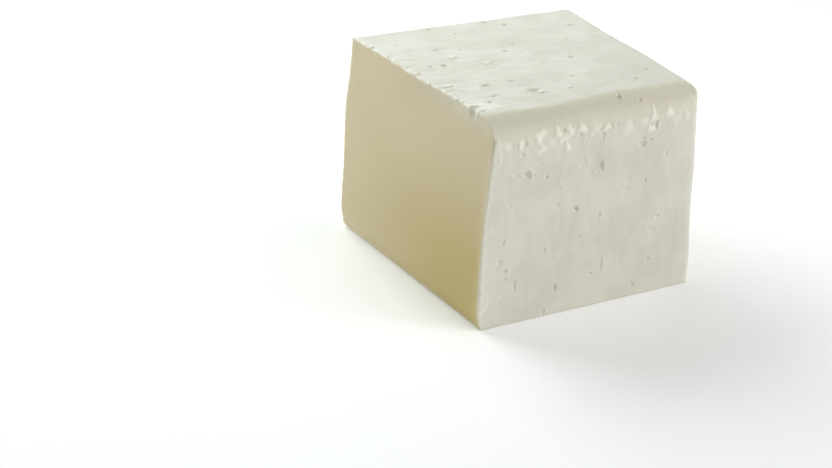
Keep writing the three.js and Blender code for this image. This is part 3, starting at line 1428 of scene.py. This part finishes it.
@dataclass
class FetaBlock:
    """The block itself: its form, its marks, its relief and its finish.

    Attributes:
        form: The outline.
        markings: The marks in its sides.
        relief: The low relief between them.
        row: The curd that stands out under the shoulder.
        zones: Where each part of the finish shows.
        finish: The cheese.
        whiteness: How white a crumb and a flake are painted for each mm that they stand out: partly whiter
            curd, partly a painted highlight where they catch the light.
        whitest: How white they are at the most.
        white_edge: How soon that white is full, going in from a mark's outline: 1 is only at its middle.
        base_fade: Heights at which the relief starts and is full, so that the base stays flat.
        grid_cuts: How often each edge of the cube is divided, in two passes.
        mark_margins: How far round a mark the grid is made finer, at the first and the second pass.
        edge_bands: Widths, from the outline of the cut face, within which it is made finer at each pass.
        skin: How far inside a side a place still counts as being on it.
    """

    form: BlockForm = field(default_factory=BlockForm)
    markings: Markings = Markings()
    relief: CurdRelief = CurdRelief()
    row: CurdRow = CurdRow()
    zones: FinishZones = FinishZones()
    finish: FreshCheese = FreshCheese()
    whiteness: dict[MarkKind, float] = field(
        default_factory=lambda: {MarkKind.CRUMB: 1.7, MarkKind.FLAKE: 2.4}
    )
    whitest: float = 0.72
    white_edge: float = 1.3
    base_fade: Pair = (0.1, 1.2)
    grid_cuts: tuple[int, int] = (8, 9)
    mark_margins: Pair = (0.9, 0.2)
    edge_bands: Pair = (3.4, 1.2)
    skin: float = 1.0

    def build(self) -> bpy.types.Object:
        """Makes the block and dresses it.

        Returns:
            The finished piece, at the origin.
        """
        marks = self.markings.all(self.form.size)
        mesh = mesh_from("feta_curd", self._grid(marks))
        self._mould(mesh, marks)
        mesh.shade_smooth()
        mesh.materials.append(self.finish.material())
        return add_object("feta_curd", mesh)

    def _grid(self, marks: list[Mark]) -> bmesh.types.BMesh:
        """The upright box as a grid, finer round the marks and along the cut face's edges.

        Args:
            marks: The marks in its sides.

        Returns:
            The grid, in mm.
        """
        grid = bmesh.new()
        bmesh.ops.create_cube(grid, size=1.0)
        bmesh.ops.translate(grid, verts=grid.verts, vec=(0.5, 0.5, 0.5))
        bmesh.ops.scale(grid, verts=grid.verts, vec=Vector(self.form.size))
        for cuts in self.grid_cuts:
            bmesh.ops.subdivide_edges(grid, edges=grid.edges, cuts=cuts, use_grid_fill=True)
        steep = [mark for mark in marks if mark.kind in (MarkKind.PIT, MarkKind.CRUMB)]
        for margin, band in zip(self.mark_margins, self.edge_bands):
            centres = np.array([face.calc_center_median() for face in grid.faces])
            chosen = self._near_marks(centres, steep, margin) | self._near_cut(centres, band)
            edges = {edge for face, wanted in zip(grid.faces, chosen) if wanted for edge in face.edges}
            bmesh.ops.subdivide_edges(
                grid, edges=list(edges), cuts=1, use_grid_fill=True, use_single_edge=True
            )
        return grid

    def _near_marks(self, centres: np.ndarray, marks: list[Mark], margin: float) -> np.ndarray:
        """Finds the places that lie in a mark or within the margin of one.

        Args:
            centres: Places in the upright box, in mm.
            marks: The marks.
            margin: The margin, in mm.

        Returns:
            Whether each place does.
        """
        near = np.zeros(len(centres), bool)
        for mark in marks:
            flat = mark.side.distance(centres, self.form.size) < self.skin
            offsets = (centres[:, mark.side.along] - mark.at) / (np.array(mark.span) / 2 + margin)
            near |= flat & ((offsets**2).sum(1) < 1.0)
        return near

    def _near_cut(self, centres: np.ndarray, band: float) -> np.ndarray:
        """Which places lie within a band of the cut face's top and front edges."""
        sides = [side.distance(centres, self.form.size) for side in (Side.TOP, Side.FRONT)]
        return (centres[:, 0] < band) & (np.minimum.reduce(sides) < band)

    def _mould(self, mesh: bpy.types.Mesh, marks: list[Mark]) -> None:
        """Takes the grid to the block's place and form, and writes the attributes that its finish reads.

        Args:
            mesh: The grid in the upright box, in mm. It ends in metres in the part's frame.
            marks: The marks in its sides.
        """
        box = get_points(mesh, "co")
        placed = self.form.shape(box)
        set_points(mesh, placed)
        normals = get_points(mesh, "normal")
        raised, curd_and_highlight = self._marked(placed, marks)
        row, white = self.row.shape(box, placed, normals)
        heights = self.relief.heights(placed, normals) + row + raised
        heights *= smooth_step(*self.base_fade, box[:, 2])
        low, high = (np.array(corner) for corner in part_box(NODE))
        shift = (low + high) / 2 - (placed.min(0) + placed.max(0)) / 2 * MM
        shift[2] = low[2]
        set_points(mesh, (placed + normals * heights[:, None]) * MM + shift)
        # The white of the crumbs, flakes and row, partly a painted highlight, goes into the finish.
        shares = self.zones.shares(box, self.form.size, normals, raised, np.maximum(curd_and_highlight, white))
        for name, values in shares.items():
            layer = mesh.attributes.new(name, "FLOAT", "POINT")
            layer.data.foreach_set("value", values.astype(np.float32))

    def _marked(self, placed: np.ndarray, marks: list[Mark]) -> tuple[np.ndarray, np.ndarray]:
        """What the marks do at each point.

        Args:
            placed: Places on the block, in mm.
            marks: The marks.

        Returns:
            Heights in mm, and how white each point is painted, from 0 to 1: partly loose white curd, partly a
            painted highlight.
        """
        heights = np.zeros(len(placed))
        curd_and_highlight = np.zeros(len(placed))
        for mark in marks:
            s, t = mark.at
            plan = np.array([(s, t), (s + 1, t), (s, t + 1)])
            middle, beside, above = self.form.shape(mark.side.on_side(plan, self.form.size))
            near = np.flatnonzero(((placed - middle) ** 2).sum(1) < mark.reach**2)
            offsets = placed[near] - middle
            sideways = (beside - middle) / np.linalg.norm(beside - middle)
            upwards = above - middle - sideways * ((above - middle) @ sideways)
            upwards /= np.linalg.norm(upwards)
            turn = math.radians(mark.turn)
            across = offsets @ (math.cos(turn) * sideways + math.sin(turn) * upwards)
            up = offsets @ (math.cos(turn) * upwards - math.sin(turn) * sideways)
            off_side = (offsets @ np.cross(sideways, upwards)) / mark.reach
            share = mark.profile(across, up) * (1.0 - off_side**2)
            heights[near] += mark.relief * share
            # A crumb or flake is painted whiter the further it stands out: partly whiter curd, partly a
            # painted highlight where it catches the light.
            if mark.kind in (MarkKind.CRUMB, MarkKind.FLAKE):
                white = min(self.whiteness[mark.kind] * mark.relief, self.whitest)
                curd_and_highlight[near] = np.maximum(curd_and_highlight[near], white * np.clip(self.white_edge * share, 0.0, 1.0))
        return heights, curd_and_highlight


def mesh_from(name: str, grid: bmesh.types.BMesh) -> bpy.types.Mesh:
    """Turns a working grid into a mesh, and frees it.

    Args:
        name: Name of the mesh.
        grid: The grid.

    Returns:
        The mesh.
    """
    mesh = bpy.data.meshes.new(name)
    grid.to_mesh(mesh)
    grid.free()
    return mesh


def add_object(name: str, data: bpy.types.ID) -> bpy.types.Object:
    """Adds an object to the scene.

    Args:
        name: Name of the object.
        data: Its mesh, light or camera.

    Returns:
        The object.
    """
    made = bpy.data.objects.new(name, data)
    bpy.context.scene.collection.objects.link(made)
    return made


def get_points(mesh: bpy.types.Mesh, name: str) -> np.ndarray:
    """Reads a vector property of every point.

    Args:
        mesh: The mesh.
        name: The property, such as co or normal.

    Returns:
        Rows of three numbers.
    """
    values = np.empty(len(mesh.vertices) * 3)
    mesh.vertices.foreach_get(name, values)
    return values.reshape(-1, 3)


def set_points(mesh: bpy.types.Mesh, rows: np.ndarray) -> None:
    """Moves every point of a mesh to its row."""
    mesh.vertices.foreach_set("co", rows.ravel())
    mesh.update()


@dataclass(frozen=True)
class SoftLight:
    """A square studio softbox.

    Attributes:
        name: Name of the lamp.
        azimuth: Where it stands round the block, as for the camera, in degrees.
        elevation: How high it stands, in degrees.
        distance: Distance from the block, in metres.
        width: Width of the box, in metres.
        power: Power in watts.
        colour: Its light, as sRGB hex.
    """

    name: str
    azimuth: float
    elevation: float
    distance: float
    width: float
    power: float
    colour: str = "#FFFFFF"

    def build(self) -> bpy.types.Object:
        """Makes the lamp, aimed at the middle of the block's base.

        Returns:
            The lamp.
        """
        data = bpy.data.lights.new(self.name, "AREA")
        data.shape = "SQUARE"
        data.size = self.width
        data.energy = self.power
        data.color = linear(self.colour)[:3]
        lamp = add_object(self.name, data)
        back = towards(self.azimuth, self.elevation)
        aim = back.to_track_quat("Z", "Y").to_matrix().to_4x4()
        lamp.matrix_world = Matrix.Translation(back * self.distance) @ aim
        return lamp


def towards(azimuth: float, elevation: float) -> Vector:
    """The direction from the block to a place round it. Azimuth 0 is in front, and angles are in degrees."""
    a, e = math.radians(azimuth), math.radians(elevation)
    return Vector((math.sin(a) * math.cos(e), -math.cos(a) * math.cos(e), math.sin(e)))


@dataclass
class Studio:
    """The pale floor, the soft light and the camera.

    Attributes:
        floor_width: Width of the sheet of paper, in metres.
        floor_cells: How many cells it has each way.
        lens: Focal length on a sensor 36 mm wide.
        azimuth: Where the camera stands round the block, in degrees.
        elevation: How far it looks down, in degrees.
        roll: How far it is turned about its own axis, in degrees.
        distance: Distance from the camera to the point that it is aimed at, in metres.
        aim: That point, left of the block, so that the block stands right of the picture's middle.
        lights: The softboxes.
        surround: Strength of the even light from all round.
    """

    floor_width: float = 8.0
    floor_cells: int = 8
    lens: float = 78.0
    azimuth: float = -29.84
    elevation: float = 25.16
    roll: float = 2.5
    distance: float = 0.745
    aim: tuple[float, float, float] = (-0.06787, -0.02967, 0.03551)
    lights: tuple[SoftLight, ...] = (
        SoftLight("front_softbox", 26.0, 45.0, 2.2, 1.4, 13.0),
        SoftLight("right_softbox", 56.0, 24.0, 1.6, 0.8, 8.5),
        SoftLight("left_fill", -48.0, 34.0, 2.2, 1.6, 1.2),
        SoftLight("back_softbox", 201.0, 38.0, 0.8, 0.62, 5.4, "#F5FDFC"),
        SoftLight("back_panel", 162.0, 24.0, 2.2, 1.6, 10.0, "#F4FEFC"),
    )
    surround: float = 0.19

    def build(self) -> None:
        """Makes the whole studio."""
        self._floor()
        self._world()
        self._camera()
        for light in self.lights:
            light.build()
        bpy.context.scene.view_settings.view_transform = "Standard"

    def _floor(self) -> None:
        """A flat sheet at the height of the block's base."""
        sheet = bmesh.new()
        cells = self.floor_cells
        bmesh.ops.create_grid(sheet, x_segments=cells, y_segments=cells, size=self.floor_width / 2)
        mesh = mesh_from("studio_floor", sheet)
        mesh.materials.append(PaperFloor().material())
        floor = add_object("studio_floor", mesh)

    def _world(self) -> None:
        """Even pale light from all round."""
        world = bpy.data.worlds.new("studio_surround")
        world.use_nodes = True
        background = world.node_tree.nodes["Background"]
        background.inputs["Color"].default_value = (1.0, 1.0, 1.0, 1.0)
        background.inputs["Strength"].default_value = self.surround
        bpy.context.scene.world = world

    def _camera(self) -> None:
        """The camera at the picture's own angle, with its slight roll."""
        data = bpy.data.cameras.new("camera")
        data.lens = self.lens
        camera = add_object("camera", data)
        place = Vector(self.aim) + towards(self.azimuth, self.elevation) * self.distance
        turns = ((self.azimuth, "Z"), (90.0 - self.elevation, "X"), (self.roll, "Z"))
        matrix = Matrix.Translation(place)
        for angle, axis in turns:
            matrix = matrix @ Matrix.Rotation(math.radians(angle), 4, axis)
        camera.matrix_world = matrix
        bpy.context.scene.camera = camera


def main() -> None:
    """Builds the block and the studio, and ties the block to its frame."""
    logging.basicConfig(level=logging.INFO, format="%(name)s: %(message)s")
    block = FetaBlock().build()
    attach(block, "root")
    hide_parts(NODE)
    block.data.calc_loop_triangles()
    LOG.info("%s has %d triangles", block.name, len(block.data.loop_triangles))
    Studio().build()


if __name__ == "__main__":
    main()
